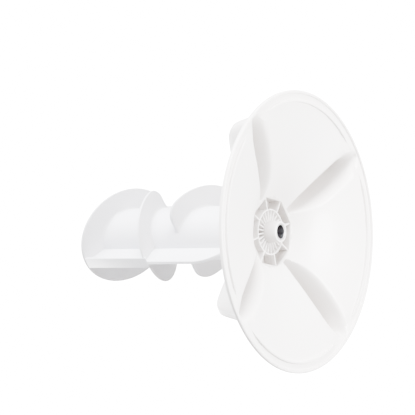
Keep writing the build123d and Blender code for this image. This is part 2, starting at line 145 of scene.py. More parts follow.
# %% A material and its usual nodes
class Finish(Graph):
    """A procedural material that ends in one Principled shader."""

    def __init__(self, name):
        self.material = bpy.data.materials.new(name)
        self.material.use_nodes = True
        super().__init__(self.material.node_tree)
        self.tree.nodes.clear()
        self.shader = self.tree.nodes.new("ShaderNodeBsdfPrincipled")
        output = self.tree.nodes.new("ShaderNodeOutputMaterial")
        self.tree.links.new(self.shader.outputs[0], output.inputs["Surface"])
        self.place = self.node("ShaderNodeTexCoord", {}, {}, out="Object")

    def noise(self, scale, detail=2.0, stretch=None):
        place = self.place
        if stretch:
            place = self.node("ShaderNodeMapping", {}, {"Vector": place, "Scale": stretch})
        return self.node("ShaderNodeTexNoise", {},
                         {"Vector": place, "Scale": scale, "Detail": detail})

    def ramp(self, field, low, high):
        return self.node("ShaderNodeMapRange", {"interpolation_type": "SMOOTHSTEP"},
                         {"Value": field, "From Min": low, "From Max": high})

    def mix(self, factor, first, second):
        return self.node("ShaderNodeMix", {"data_type": "RGBA"}, {0: factor, 6: first, 7: second},
                         out=2)

    def bump(self, height, distance, strength=1.0):
        return self.node("ShaderNodeBump", {},
                         {"Height": height, "Distance": distance, "Strength": strength})

    def surface(self, **values):
        for key, value in values.items():
            self.put(self.shader.inputs[key.replace("_", " ")], value)


print("helpers for node trees:", Field.__name__, Graph.__name__, Finish.__name__)

# %% [markdown]
# ## Floor and light
# The floor is a pale sheet of paper that fades into the white surround, so no horizon shows. It
# would hide the underside from a camera below, so its shader shows it only to a camera above it,
# and lets all other rays through. The lamps are big discs, as in a light tent: two in front of
# the underside, one along the auger, one overhead, and two weak ones that lift the shade. White
# plastic shows its shape only by shade, so most of the light comes from one side.

# %% Floor that only a camera above it sees
FLOOR_REACH, FADE_START, FADE_END = 6, 1.2, 5.5     # metres
floor_mesh = bpy.data.meshes.new("floor")
corners = [(-FLOOR_REACH, -FLOOR_REACH, 0), (FLOOR_REACH, -FLOOR_REACH, 0),
           (FLOOR_REACH, FLOOR_REACH, 0), (-FLOOR_REACH, FLOOR_REACH, 0)]
floor_mesh.from_pydata(corners, [], [(0, 1, 2, 3)])
floor = bpy.data.objects.new("floor", floor_mesh)
bpy.context.scene.collection.objects.link(floor)
paper = Finish("pale_paper")
paper.surface(Base_Color=(0.64, 0.64, 0.64, 1), Roughness=0.8)
seen = paper.node("ShaderNodeLightPath", {}, {}, out="Is Camera Ray")
hidden_side = paper.node("ShaderNodeNewGeometry", {}, {}, out="Backfacing")
distance = paper.node("ShaderNodeVectorMath", {"operation": "LENGTH"}, {0: paper.place}, out=1)
near = 1 - paper.ramp(distance, FADE_START, FADE_END)
clear = paper.node("ShaderNodeBsdfTransparent", {}, {})
shown = paper.node("ShaderNodeMixShader", {}, {0: seen * (1 - hidden_side) * near, 1: clear,
                                               2: Field(paper, paper.shader.outputs[0])})
paper.tree.links.new(shown.socket, paper.tree.nodes["Material Output"].inputs["Surface"])
floor_mesh.materials.append(paper.material)
print("floor", 2 * FLOOR_REACH, "m across, fades from", FADE_START, "to", FADE_END, "m")

# %% Soft lamps
def lamp(name, direction, distance, size, power, colour=(1, 1, 1)):
    data = bpy.data.lights.new(name, "AREA")
    data.shape, data.size, data.energy, data.color = "DISK", size, power, colour
    made = bpy.data.objects.new(name, data)
    way = Vector(direction).normalized()
    made.location = way * distance + Vector((0, 0, cad_box[1].z / 2))
    made.rotation_mode = "QUATERNION"
    made.rotation_quaternion = way.to_track_quat("Z", "Y")
    bpy.context.scene.collection.objects.link(made)


COOL, COOLER = (0.96, 0.97, 1.0), (0.94, 0.96, 1.0)
lamp("key_high", up * 0.8 + back * 0.55, 1.7, 0.8, 145)
lamp("key_right", right * 0.9 + up * 0.1 + back * 0.4, 1.7, 0.8, 185)
lamp("auger_light", up * 0.85 - right * 0.45 + back * 0.3, 1.7, 0.9, 125, COOLER)
lamp("overhead", (0.3, -0.4, 1.0), 1.8, 1.3, 140)
lamp("far_side", (-1.0, -0.5, 0.5), 2.0, 1.3, 40)
lamp("lower_left", back * 0.7 - right * 0.5 - up * 0.5, 1.9, 1.0, 28, COOL)

# %% White surround
SOFT_LIGHT, SHEET_LIGHT = 1.0, 26.0     # what the object sees, and what the camera sees
world = bpy.data.worlds.new("surround")
world.use_nodes = True
bpy.context.scene.world = world
room = Graph(world.node_tree)
straight = room.node("ShaderNodeLightPath", {}, {}, out="Is Camera Ray")
sheet_white = room.node("ShaderNodeBackground", {},
                        {"Color": (1, 1, 1, 1), "Strength": SHEET_LIGHT})
soft_room = room.node("ShaderNodeBackground", {},
                      {"Color": (1, 0.98, 0.965, 1), "Strength": SOFT_LIGHT})
both = room.node("ShaderNodeMixShader", {}, {0: straight, 1: soft_room, 2: sheet_white})
room.put(room.tree.nodes["World Output"].inputs["Surface"], both)
print("surround lights the object at", SOFT_LIGHT, "and shows the camera", SHEET_LIGHT)

# %% [markdown]
# ## White plastic
# Washing machine plastic is polypropylene: white, satin, with a very slight waviness from the
# mould and a tone that wanders a little over a big part. Two slow noises shift the colour
# between a warm and a cool white, and a fine one gives the surface its grain. The colour also
# reads a mesh attribute for painted shade, which later steps set on the plate and on the flights:
# it mixes in a grey that stands for the shade in deep hollows and under the flights. A mesh
# without it stays plain white.

# %% White plastic finishes
# Grey of the painted shade that darkens deep hollows and the undersides of the flights
PAINTED_SHADE_GREY = (0.46, 0.43, 0.41, 1)


def white_plastic(name, warm, cool, roughness):
    made = Finish(name)
    film = made.node("ShaderNodeAttribute", {"attribute_name": "film"}, {}, out="Fac")
    tone = made.ramp(made.noise(9.0, 3.0), 0.3, 0.7)
    wear = made.noise(60.0, 4.0)
    grain = made.noise(900.0, 2.0)
    made.surface(
        # Base colour: the tone noise, mixed toward the painted shade grey as far as the mesh
        # attribute says
        Base_Color=made.mix(film * (0.9 + 0.2 * wear), made.mix(tone, warm, cool), PAINTED_SHADE_GREY),
        Roughness=roughness + 0.10 * wear + 0.2 * film,
        Normal=made.bump(0.7 * grain + 0.3 * wear, 0.00008, 0.5),
        Coat_Weight=0.12,
    )
    made.shader.inputs["IOR"].default_value = 1.49
    return made.material


plate_white = white_plastic("plate_white", (0.86, 0.82, 0.80, 1), (0.85, 0.83, 0.815, 1), 0.36)
auger_white = white_plastic("auger_white", (0.82, 0.825, 0.87, 1), (0.82, 0.82, 0.855, 1), 0.32)
print("finishes", plate_white.name, auger_white.name)

# %% [markdown]
# ## Wash plate
# The plate is one thin moulding, so it is one closed skin: rings of points run over the top,
# round the rim, back along the underside, through the recess in the hub and up its bore. A bell
# curve gives the height of each ring. The vanes are leaf-shaped humps in that skin, hollow from
# below, so their shape is worked out as a height above the rim plane and joined to the bell with
# a soft maximum, which leaves the rounded blends that a mould has.

# %% Smooth curve through points
def smooth_line(points, start=None, end=None, steps=500):
    """Points of the smooth cubic curve through the given ones."""
    p = np.array(points, float)
    t = np.concatenate([[0], np.cumsum(np.hypot(*np.diff(p, axis=0).T))])
    h, n = np.diff(t), len(p)
    a, b = np.zeros((n, n)), np.zeros((n, 2))
    for i in range(1, n - 1):
        a[i, i - 1:i + 2] = 1 / h[i - 1], 2 / h[i - 1] + 2 / h[i], 1 / h[i]
        b[i] = 3 * ((p[i] - p[i - 1]) / h[i - 1] ** 2 + (p[i + 1] - p[i]) / h[i] ** 2)
    for i, side, given in ((0, 0, start), (n - 1, n - 2, end)):
        a[i, i], b[i] = (1, given) if given else (2, 3 * (p[side + 1] - p[side]) / h[side])
        if not given:
            a[i, 1 if i == 0 else n - 2] = 1
    slope = np.linalg.solve(a, b)
    at = np.linspace(0, t[-1], steps)
    k = np.clip(np.searchsorted(t, at, side="right") - 1, 0, n - 2)
    s = ((at - t[k]) / h[k])[:, None]
    step = h[k][:, None]
    return ((1 + 2 * s) * (1 - s) ** 2 * p[k] + s * (1 - s) ** 2 * step * slope[k]
            + s ** 2 * (3 - 2 * s) * p[k + 1] + s ** 2 * (s - 1) * step * slope[k + 1])


def along(line, x):
    return np.interp(x, line[:, 0], line[:, 1])

# %% Curves of the bell, the back, the crest and the leaf
OCTAGON = 43.4                  # corner radius of the recess in the hub; all in millimetres
APOTHEM = OCTAGON * cos(radians(22.5))
HUB_TOP = 66.0
RECESS_EDGE, RECESS_CEILING = 46.0, 62.5
RIM = RIM_RADIUS / MM
LEAF_ROOT, LEAF_TIP = 46.0, 162.0
TIP_CREST = 28.0
bell_line = smooth_line([(OCTAGON, RECESS_EDGE), (60, 33.0), (85, 20.4), (110, 12.4), (136, 6.4),
                         (155, 3.2), (166, 2.4)])
back_line = smooth_line([(41.5, HUB_TOP), (47, 52.0), (62, 36.0), (85, 24.0), (110, 15.8),
                         (136, 9.8), (156, 6.2), (RIM, 4.4)])
crest_line = smooth_line([(0, 63.0), (70, 58.5), (110, 53.0), (131, 48.0), (142, 45.0),
                          (151, 40.5), (LEAF_TIP, TIP_CREST)])
leaf_line = smooth_line([(LEAF_ROOT, 9.5), (65, 14.0), (85, 16.3), (110, 16.5), (136, 14.6),
                         (153, 9.6), (LEAF_TIP, 0)], start=(1, 0.2), end=(0, -1))
print("skin at radius 110:", round(float(along(back_line, 110) - along(bell_line, 110)), 1), "mm")

# %% [markdown]
# ### Vanes
# A vane's flanks lean in toward its ridge, as a mould needs, and its crest falls toward the rim.
# At each point of the plate a search by halves finds the height where the leaning flank stands
# over that point. The hollow underneath is the same shape, set in by the wall and with its end
# wall leaning out from the hub.

# %% Height of a vane at any point
VANE_SKIN = 2.4                 # how far the outside stands out from the leaf
HOLLOW_INSET, CREST_SKIN = 2.2, 3.0
RIDGE_LENGTH, RIDGE_WIDTH, RIDGE_HEIGHT = 0.87, 0.36, 68.0
TIP_CLOSING, ROOT_CLOSING = 1.5, 4.0
TIP_SLOPE, END_WALL_SLOPE = 2.2, 5.0
CREST_BLEND, END_WALL_BLEND = 16.0, 8.0
SEARCH_LOW, SEARCH_HIGH, SEARCH_STEPS = -60.0, 95.0, 30


def soft_max(a, b, softness):
    mix = np.clip(0.5 + 0.5 * (a - b) / softness, 0, 1)
    return b * (1 - mix) + a * mix + softness * mix * (1 - mix)


def soft_min(a, b, softness):
    return -soft_max(-a, -b, softness)


def half_width(x, closed_root):
    wide = along(leaf_line, x) - TIP_CLOSING * np.maximum(x - LEAF_TIP, 0)
    return wide - ROOT_CLOSING * np.maximum(LEAF_ROOT - x, 0) if closed_root else wide


def vane_height(x, across, stand_out, drop, closed_root):
    """Where the vane's flank stands over a point, cut off at the crest."""
    low, high = np.full_like(x, SEARCH_LOW), np.full_like(x, SEARCH_HIGH)
    for _ in range(SEARCH_STEPS):
        z = (low + high) / 2
        share = z / RIDGE_HEIGHT
        foot = LEAF_ROOT + (x - stand_out - LEAF_ROOT) / (1 - (1 - RIDGE_LENGTH) * share)
        half = half_width(foot, closed_root) * (1 - (1 - RIDGE_WIDTH) * share) + stand_out
        inside = half > np.abs(across)
        low, high = np.where(inside, z, low), np.where(inside, high, z)
    past_tip = TIP_CREST - TIP_SLOPE * (x - LEAF_TIP)
    crest = np.where(x < LEAF_TIP, along(crest_line, x), past_tip) - drop
    return soft_min(low, crest, CREST_BLEND)


middle = vane_height(np.array([110.0]), np.array([0.0]), VANE_SKIN, 0, False)
print("vane at radius 110 stands", round(float(middle[0]), 1), "mm over the rim plane")

# %% [markdown]
# ### Rings of points
# Every ring has the same number of points, so two rings next to each other join into a band of
# four-sided faces. The points of a ring are crowded across the vanes, where the skin bends, and
# spread evenly in between.

# %% Where the points of a ring go
GUIDE = [0, 0.14, 0.25, 0.33, 0.41, 0.5, 0.62, 0.74, 0.84, 0.92, 1.0, 1.1, 1.3]
BETWEEN = 24
WIDEST_RING = 158.0


def ring_angles(r):
    """Angles of a ring's points: close together across a vane, even between two."""
    at = min(max(r, LEAF_ROOT), WIDEST_RING)
    wide = float(along(leaf_line, at)) / at
    spread = [asin(min(g * wide, 0.5)) for g in GUIDE]
    vane = [-a for a in reversed(spread[1:])] + spread
    gap = np.linspace(spread[-1], pi / 2 - spread[-1], BETWEEN + 2)[1:-1]
    quarter = np.concatenate([vane, gap])
    return np.concatenate([quarter + k * pi / 2 for k in range(4)])


def across_vane(r, phi):
    """Place of each point along and across its nearest vane."""
    near = phi - np.round(phi / (pi / 2)) * (pi / 2)
    return r * np.cos(near), r * np.sin(near)


def octagon_radius(phi):
    return APOTHEM / np.cos((phi + pi / 8) % (pi / 4) - pi / 8)


rings = []


def plain_ring(r, z):
    phi = ring_angles(r)
    rings.append((np.full_like(phi, r), phi, np.full_like(phi, z)))


print("points in a ring", len(ring_angles(OCTAGON)))

# %% Rings up the bore, over the collar and out along the top
HUB_BORE, COLLAR_BORE, COLLAR, COLLAR_TOP = 10.6, 24.0, 27.0, 80.0
TOP_BLEND = 14.0


def top_ring(r):
    phi = ring_angles(r)
    x, across = across_vane(r, phi)
    rise = vane_height(x, across, VANE_SKIN, 0, False)
    back_height = np.full_like(phi, float(along(back_line, r)))
    rings.append((np.full_like(phi, r), phi, soft_max(rise, back_height, TOP_BLEND)))


for r, z in [(HUB_BORE, HUB_TOP), (COLLAR_BORE, HUB_TOP), (COLLAR_BORE, COLLAR_TOP - 0.6),
             (COLLAR_BORE + 0.5, COLLAR_TOP), (COLLAR - 0.5, COLLAR_TOP),
             (COLLAR, COLLAR_TOP - 0.6), (COLLAR, HUB_TOP + 0.6), (COLLAR + 0.6, HUB_TOP),
             (38, HUB_TOP), (40.4, HUB_TOP)]:
    plain_ring(r, z)
shoulder, slope, edge = [41.2, 41.8, 42.6, 43.6, 45, 46.8], (49, 138, 3.0), (139, 168.5, 1.25)
for r in np.concatenate([shoulder, np.arange(*slope), np.arange(*edge), [168.8]]):
    top_ring(r)
print("rings to the rim", len(rings))

# %% Rings round the rim and the lip that it stands on
LIP, UNDER_LIP = 4.0, 2.4
for inward, z in [(0.6, 4.2), (0.15, 3.8), (0, 3.1), (0, 1.5), (0.25, 0.75), (0.8, 0.2), (1.5, 0),
                  (LIP - 0.8, 0), (LIP - 0.3, 0.15), (LIP - 0.05, 0.6), (LIP, 1.5),
                  (LIP + 0.3, 2.1), (LIP + 1.0, UNDER_LIP)]:
    plain_ring(RIM - inward, z)
print("rings with the rim", len(rings))

# %% Rings in along the underside to the octagon
WIDE_BLEND, HUB_BLEND = 44.0, 10.0
ROUND_UNTIL, OCTAGON_ROUNDING = 60, 0.8


def underside_ring(r, phi, softness):
    x, across = across_vane(r, phi)
    bell = along(bell_line, r)
    end_wall = bell + END_WALL_SLOPE * (x - LEAF_ROOT)
    hollow = vane_height(x, across, -HOLLOW_INSET, CREST_SKIN, True)
    rise = soft_min(hollow, end_wall, END_WALL_BLEND)
    rings.append((r, phi, soft_max(rise, bell, softness)))


edge, slope = np.arange(163.75, 138, -1.25), np.arange(137, ROUND_UNTIL, -3.0)
for r in np.concatenate([edge, slope]):
    phi = ring_angles(r)
    underside_ring(np.full_like(phi, r), phi, WIDE_BLEND)
for share in np.linspace(0.06, 1, 16):
    phi = ring_angles(ROUND_UNTIL - share * (ROUND_UNTIL - OCTAGON))
    reach = octagon_radius(phi) + OCTAGON_ROUNDING
    underside_ring(ROUND_UNTIL + share * (reach - ROUND_UNTIL), phi,
                   WIDE_BLEND - (WIDE_BLEND - HUB_BLEND) * share)
print("rings to the octagon", len(rings))

# %% Rings into the recess, over the boss and back to the bore
BOSS, BOSS_END, BOSS_FOOT = 12.8, 33.0, 16.2
for grow, z in [(0.3, RECESS_EDGE + 0.15), (0, RECESS_EDGE + 0.8), (-0.3, 54.0),
                (-0.5, RECESS_CEILING - 1), (-1.2, RECESS_CEILING)]:
    phi = ring_angles(OCTAGON)
    rings.append((octagon_radius(phi) + grow, phi, np.full_like(phi, z)))
for r, z in [(36, RECESS_CEILING), (28, RECESS_CEILING), (BOSS_FOOT, RECESS_CEILING),
             (BOSS_FOOT - 1, RECESS_CEILING - 1.2), (14.2, 53), (13.1, 44.6), (BOSS, 42.8),
             (BOSS, BOSS_END + 0.7), (BOSS - 0.3, BOSS_END + 0.15), (BOSS - 0.9, BOSS_END),
             (HUB_BORE + 0.3, BOSS_END), (HUB_BORE, BOSS_END + 0.3)]:
    plain_ring(r, z)
print("rings", len(rings), "of", len(rings[0][1]), "points")

# %% Closed meshes from rings of points
SHARP, BEVEL_OVER = radians(35), radians(30)


def finish_mesh(name, verts, faces, material, edge=0.0):
    """A smooth-shaded closed mesh with its normals outward and its edges rounded on request."""
    mesh = bpy.data.meshes.new(name)
    mesh.from_pydata([tuple(v) for v in verts], [], faces)
    work = bmesh.new()
    work.from_mesh(mesh)
    bmesh.ops.remove_doubles(work, verts=work.verts, dist=1e-7)
    bmesh.ops.recalc_face_normals(work, faces=work.faces)
    if edge:
        corners = [e for e in work.edges if len(e.link_faces) == 2
                   and e.calc_face_angle() > BEVEL_OVER]
        bmesh.ops.bevel(work, geom=corners, offset=edge * MM, segments=3, profile=0.5,
                        affect="EDGES")
    for face in work.faces:
        face.smooth = True
    open_edges = sum(len(edge.link_faces) != 2 for edge in work.edges)
    work.to_mesh(mesh)
    work.free()
    mesh.set_sharp_from_angle(angle=SHARP)
    mesh.materials.append(material)
    made = bpy.data.objects.new(name, mesh)
    bpy.context.scene.collection.objects.link(made)
    print(name, len(mesh.polygons), "faces, open edges", open_edges)
    return made


def skin(rings, closed_loop=True):
    """Vertices and four-sided faces over a list of rings of points, in metres."""
    count = len(rings[0])
    verts = [tuple(p) for ring in rings for p in ring]
    faces = []
    for i in range(len(rings) if closed_loop else len(rings) - 1):
        j = (i + 1) % len(rings)
        for k in range(count):
            m = (k + 1) % count
            faces.append((i * count + k, i * count + m, j * count + m, j * count + k))
    return verts, faces

# %% Skin of the wash plate
plate_rings = [np.stack([r * np.cos(phi), r * np.sin(phi), z], axis=1) * MM for r, phi, z in rings]
plate = finish_mesh("plate_skin", *skin(plate_rings), plate_white)
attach(plate, "plate")
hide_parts("wash_plate")

# %% [markdown]
# ### Painted shade
# An attribute holds one number for each point of the mesh: how much painted shade it gets. On the
# plate it grows with depth inside a vane and inside the recess of the hub, where the shade is
# deep.

# %% Painted shade in the hollows
# How grey the painted shade gets, and over what depths in mm, in the vanes and in the recess
VANE_SHADE_AMOUNT, VANE_SHADE_START, VANE_SHADE_DEPTH = 0.9, 3, 30
RECESS_SHADE_START, RECESS_SHADE_DEPTH = 37, 13


def film_at(vertex):
    """Painted shade: greyer the deeper a point lies inside a vane or inside the recess of the hub.
    """
    r, z = vertex.co.xy.length / MM, vertex.co.z / MM
    if r > OCTAGON:
        faces_down = vertex.normal.z < -0.02
        depth = (z - along(bell_line, r) - VANE_SHADE_START) / VANE_SHADE_DEPTH if faces_down else 0
        return VANE_SHADE_AMOUNT * min(max(depth, 0), 1)
    in_recess = r > BOSS - 0.1 and RECESS_SHADE_START < z < RECESS_CEILING + 0.5
    return min((z - RECESS_SHADE_START) / RECESS_SHADE_DEPTH, 1) if in_recess else 0


def add_film(piece, amount):
    film = piece.data.attributes.new("film", "FLOAT", "POINT")
    film.data.foreach_set("value", [amount(vertex) for vertex in piece.data.vertices])


# Paint shade into the vane hollows and the hub recess of the plate
add_film(plate, film_at)
filmed = sum(entry.value > 0 for entry in plate.data.attributes["film"].data)
print("points with film", filmed, "of", len(plate.data.vertices))

# %% [markdown]
# ## Ribs under the hub
# The hub is hollow from below. A ring and eight spokes carry its octagonal edge, and two dozen
# fine ribs run from the boss to the ring. They all repeat round the axis, so one Geometry Nodes
# tree makes them: a rounded bar is drawn along a line from the axis outward, and copies of it
# are turned about the axis. The same tree is run with other sizes for ribs and for spokes.

# %% Geometry Nodes maker
class Maker(Graph):
    """A Geometry Nodes tree with named sizes, run to give a plain mesh."""

    def __init__(self, name, **kinds):
        super().__init__(bpy.data.node_groups.new(name, "GeometryNodeTree"))
        self.tree.interface.new_socket("Shape", in_out="OUTPUT", socket_type="NodeSocketGeometry")
        for key, kind in kinds.items():
            self.tree.interface.new_socket(key, in_out="INPUT", socket_type="NodeSocket" + kind)
        entry = self.tree.nodes.new("NodeGroupInput")
        self.given = {key: Field(self, entry.outputs[key]) for key in kinds}

    def close(self, shape, material):
        whole = self.node("GeometryNodeRealizeInstances", {}, {0: shape})
        painted = self.node("GeometryNodeSetMaterial", {},
                            {"Geometry": whole, "Material": material})
        self.put(self.tree.nodes.new("NodeGroupOutput").inputs[0], painted)

    def run(self, name, **sizes):
        made = bpy.data.objects.new(name, bpy.data.meshes.new(name))
        bpy.context.scene.collection.objects.link(made)
        modifier = made.modifiers.new("maker", "NODES")
        modifier.node_group = self.tree
        for item in self.tree.interface.items_tree:
            if item.in_out == "INPUT":
                modifier[item.identifier] = sizes[item.name]
        graph = bpy.context.evaluated_depsgraph_get()
        mesh = bpy.data.meshes.new_from_object(made.evaluated_get(graph), depsgraph=graph)
        made.modifiers.remove(modifier)
        made.data = mesh
        mesh.name = name
        mesh.shade_smooth()
        mesh.set_sharp_from_angle(angle=SHARP)
        low = [round(min(v.co[i] for v in mesh.vertices) / MM, 1) for i in range(3)]
        high = [round(max(v.co[i] for v in mesh.vertices) / MM, 1) for i in range(3)]
        print(name, len(mesh.polygons), "faces, from", low, "to", high, "mm")
        return made


def vector(graph, x=0.0, y=0.0, z=0.0):
    return graph.node("ShaderNodeCombineXYZ", {}, {0: x, 1: y, 2: z})


print("maker adds to a graph:", [key for key in vars(Maker) if not key.startswith("_")])

# %% Tree for bars that stand round the axis
bars = Maker("bars_round_axis", Count="Int", Inner="Float", Outer="Float", Width="Float",
             Bottom="Float", Top="Float", Turn="Float", Rounding="Float")
g = bars.given
middle = (g["Bottom"] + g["Top"]) * 0.5
line = bars.node("GeometryNodeCurvePrimitiveLine", {},
                 {"Start": vector(bars, g["Inner"], 0.0, middle),
                  "End": vector(bars, g["Outer"], 0.0, middle)})
section = bars.node("GeometryNodeCurvePrimitiveQuadrilateral", {},
                    {"Width": g["Width"], "Height": g["Top"] - g["Bottom"]})
section = bars.node("GeometryNodeFilletCurve", {"mode": "POLY"},
                    {"Curve": section, "Radius": g["Rounding"], "Count": 2})
bar = bars.node("GeometryNodeCurveToMesh", {},
                {"Curve": line, "Profile Curve": section, "Fill Caps": True})
places = bars.node("GeometryNodeMeshLine", {}, {"Count": g["Count"], "Offset": (0.0, 0.0, 0.0)})
number = bars.node("GeometryNodeInputIndex", {}, {})
turn = vector(bars, 0.0, 0.0, number * (2 * pi) / g["Count"] + g["Turn"])
copies = bars.node("GeometryNodeInstanceOnPoints", {},
                   {"Points": places, "Instance": bar, "Rotation": turn})
bars.close(copies, plate_white)
print("tree for bars,", len(bars.tree.nodes), "nodes")

# %% Fine ribs and spokes
RIB_TOP = 0.0627                # a little above the ceiling, so that no gap shows; in metres
fine_ribs = bars.run("fine_ribs", Count=24, Inner=0.0133, Outer=0.0279, Width=0.0011,
                     Bottom=0.049, Top=RIB_TOP, Turn=0.0, Rounding=0.00035)
spokes = bars.run("spokes", Count=8, Inner=0.0277, Outer=0.0434, Width=0.0014,
                  Bottom=0.0475, Top=RIB_TOP, Turn=pi / 8, Rounding=0.0004)

# %% [markdown]
# ## Turned pieces
# A profile turned about the axis gives the ring under the hub, the core of the auger, the caps
# and the steel insert. Moulded and machined edges are never knife sharp, so `soften` rounds
# every corner of a profile before it is turned.

# %% Profiles and how they are turned
def soften(points, radius=0.5, steps=3):
    """A closed outline with its corners rounded; a point's third number is its own radius."""
    made = []
    for i, point in enumerate(points):
        here = np.array(point[:2], float)
        own = point[2] if len(point) > 2 else radius
        ends = []
        for other in (points[i - 1], points[(i + 1) % len(points)]):
            away = np.array(other[:2], float) - here
            length = np.linalg.norm(away)
            ends.append(here + away / length * min(own, 0.45 * length))
        for t in np.linspace(0, 1, steps + 1) if own else [0.5]:
            made.append((1 - t) ** 2 * ends[0] + 2 * t * (1 - t) * here + t * t * ends[1]
                        if own else here)
    return made


def turned(profile, angles=96):
    """Rings of points for (radius, height) pairs; a radius may be a list over the angles."""
    phi = np.linspace(0, 2 * pi, angles, endpoint=False) if isinstance(angles, int) else angles
    return [np.stack([r * np.cos(phi), r * np.sin(phi), z + 0 * phi], axis=1) * MM
            for r, z in profile]


def put_on(piece, body, material_slot, *nodes):
    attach(piece, body)
    if nodes:
        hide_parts(*nodes)


# %% Ring under the hub
RING_INNER, RING_OUTER, RING_BOTTOM, RING_TOP = 26.8, 28.2, 47.5, RIB_TOP / MM
hub_ring_profile = soften([(RING_INNER, RING_BOTTOM), (RING_OUTER, RING_BOTTOM),
                           (RING_OUTER, RING_TOP, 0), (RING_INNER, RING_TOP, 0)], 0.45)
hub_ring = finish_mesh("hub_ring", *skin(turned(hub_ring_profile, 72)), plate_white)
for piece in (fine_ribs, spokes, hub_ring):
    put_on(piece, "plate", "white_plastic")

# %% [markdown]
# ## Arcs under the rim
# Near the rim, four thin arcs stand under the plate, one between each two vanes. An arc follows
# a path, so a second Geometry Nodes tree draws a rounded section along it. The section shrinks
# over the first and last few millimetres, so each arc fades into the plate.

# %% Tree for arcs round the axis
arcs = Maker("arcs_round_axis", Count="Int", Radius="Float", Sweep="Float", Turn="Float",
             Thick="Float", Bottom="Float", Top="Float", Rounding="Float", Fade="Float")
g = arcs.given
path = arcs.node("GeometryNodeCurveArc", {"mode": "RADIUS"},
                 {"Resolution": 72, "Radius": g["Radius"], "Start Angle": g["Turn"],
                  "Sweep Angle": g["Sweep"]})
path = arcs.node("GeometryNodeTransform", {},
                 {"Geometry": path, "Translation": vector(arcs, 0.0, 0.0,
                                                          (g["Bottom"] + g["Top"]) * 0.5)})
share = arcs.node("GeometryNodeSplineParameter", {}, {})
from_end = arcs.node("ShaderNodeMath", {"operation": "MINIMUM"}, {0: share, 1: 1 - share})
fade = arcs.node("ShaderNodeMapRange", {"interpolation_type": "SMOOTHSTEP"},
                 {"Value": from_end, "From Max": g["Fade"], "To Min": 0.04})
section = arcs.node("GeometryNodeCurvePrimitiveQuadrilateral", {},
                    {"Width": g["Thick"], "Height": g["Top"] - g["Bottom"]})
section = arcs.node("GeometryNodeFilletCurve", {"mode": "POLY"},
                    {"Curve": section, "Radius": g["Rounding"], "Count": 3})
strip = arcs.node("GeometryNodeCurveToMesh", {},
                  {"Curve": path, "Profile Curve": section, "Scale": fade, "Fill Caps": True})
places = arcs.node("GeometryNodeMeshLine", {}, {"Count": g["Count"], "Offset": (0.0, 0.0, 0.0)})
number = arcs.node("GeometryNodeInputIndex", {}, {})
turn = vector(arcs, 0.0, 0.0, number * (2 * pi) / g["Count"])
copies = arcs.node("GeometryNodeInstanceOnPoints", {},
                   {"Points": places, "Instance": strip, "Rotation": turn})
arcs.close(copies, plate_white)
print("tree for arcs,", len(arcs.tree.nodes), "nodes")

# %% Rim arcs
ARC_RADIUS, VANE_CLEARANCE = 157.0, 22
ARC_BREAK = asin(VANE_CLEARANCE / ARC_RADIUS)
rim_arcs = arcs.run("rim_arcs", Count=4, Radius=ARC_RADIUS * MM, Sweep=pi / 2 - 2 * ARC_BREAK,
                    Turn=ARC_BREAK, Thick=0.0030, Bottom=0.0003, Top=0.0057,
                    Rounding=0.0007, Fade=0.09)
put_on(rim_arcs, "plate", "white_plastic")

# %% [markdown]
# ## Auger
# The auger is a tube with a fin on each side and four flat tilted flights between them. A flat
# tilted disc is a turned profile that is sheared: each point goes up by the same amount for
# every millimetre along the fins. The profile flares into the core at its root, as a moulding
# does, and is round at the rim. A flight that is cut off has a round corner there.

# %% Core with its shelf and ratchet
CORE, BORE = 34.0, 31.0
CORE_BOTTOM, CORE_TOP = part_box("auger")[0].z / MM, 303.0
SHELF_BORE, SHELF_BOTTOM, SHELF_TOP, RATCHET_TOP = 20.0, 238.0, 243.5, 262.0
TOOTH_COUNT, TOOTH_TIP, TOOTH_START = 24, 28.6, 30.1
tooth_steps = np.array([-4.43, -2.8, -1.2, 0.4, 2.0, 2.9, 3.7, 7.1])
tooth_reach = np.array([0, 1.2, 2.4, 2.4, 2.4, 1.2, 0, 0]) / 2.4
pitch = 360 / TOOTH_COUNT
core_angles = np.radians(np.concatenate([TOOTH_START + pitch * i + tooth_steps
                                         for i in range(TOOTH_COUNT)]))
ratchet = BORE - (BORE - TOOTH_TIP) * np.tile(tooth_reach, TOOTH_COUNT)
core_profile = soften([(CORE, CORE_BOTTOM), (CORE, CORE_TOP), (BORE, CORE_TOP),
                       (BORE, RATCHET_TOP + 0.05, 0), (TOOTH_TIP, RATCHET_TOP, 0),
                       (TOOTH_TIP, SHELF_TOP, 0), (SHELF_BORE, SHELF_TOP),
                       (SHELF_BORE, SHELF_BOTTOM), (BORE, SHELF_BOTTOM, 2.0), (BORE, CORE_BOTTOM)])
core_profile = [(ratchet if r == TOOTH_TIP else r, z) for r, z in core_profile]
core = finish_mesh("auger_core", *skin(turned(core_profile, core_angles)), auger_white)
put_on(core, "auger", "white_plastic_auger", "auger")

# %% Outline and edge of a flight
FLIGHT_RADIUS, FLIGHT_THICK, FLIGHT_END, CORNER = 61.2, 3.2, 27.0, 22.0
# The last of the next three is the strength of the painted shade on the flights' downward faces
FLIGHT_ROOT, FLIGHT_STEP, FLIGHT_UNDERSIDE_SHADE = 33.0, 2.5, 0.4


def cut_edge(phi):
    """Outer radius of a flight that is cut off past the axis, with a round corner."""
    cut = FLIGHT_END
    centre = np.array([cut - CORNER, np.sqrt((FLIGHT_RADIUS - CORNER) ** 2 - (cut - CORNER) ** 2)])
    way = np.array([cos(phi), abs(sin(phi))])
    facing = atan2(way[1], way[0])
    if facing > atan2(centre[1], centre[0]):
        return FLIGHT_RADIUS
    if facing > atan2(centre[1], cut):
        nearness = way @ centre
        return nearness + np.sqrt(nearness ** 2 - centre @ centre + CORNER ** 2)
    return cut / way[0]


def round_edge(phi):
    return FLIGHT_RADIUS


